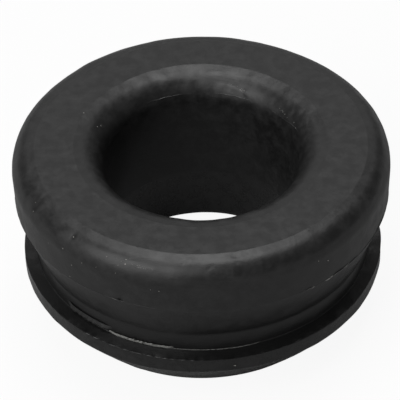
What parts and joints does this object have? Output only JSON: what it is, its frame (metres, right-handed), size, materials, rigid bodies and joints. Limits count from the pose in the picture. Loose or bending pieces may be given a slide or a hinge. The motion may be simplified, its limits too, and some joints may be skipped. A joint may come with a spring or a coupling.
{
  "type": "rubber grommet",
  "caption": "Moulded rubber grommet: rounded head over a conical seat, a narrow groove for a panel's hole, a lead-in flange and a lipped bore for a tube.",
  "frame": {"origin": "on the bore's axis, in the plane of the lead-in flange's flat foot, which the part rests on", "axes": "+Z along the bore from the foot to the head; the part is round, so X and Y are alike"},
  "size_m": [0.036, 0.036, 0.0177],
  "materials": {
    "rubber": "moulded satin"
  },
  "bodies": {
    "root": {"grommet": "rubber"}
  },
  "joints": []
}
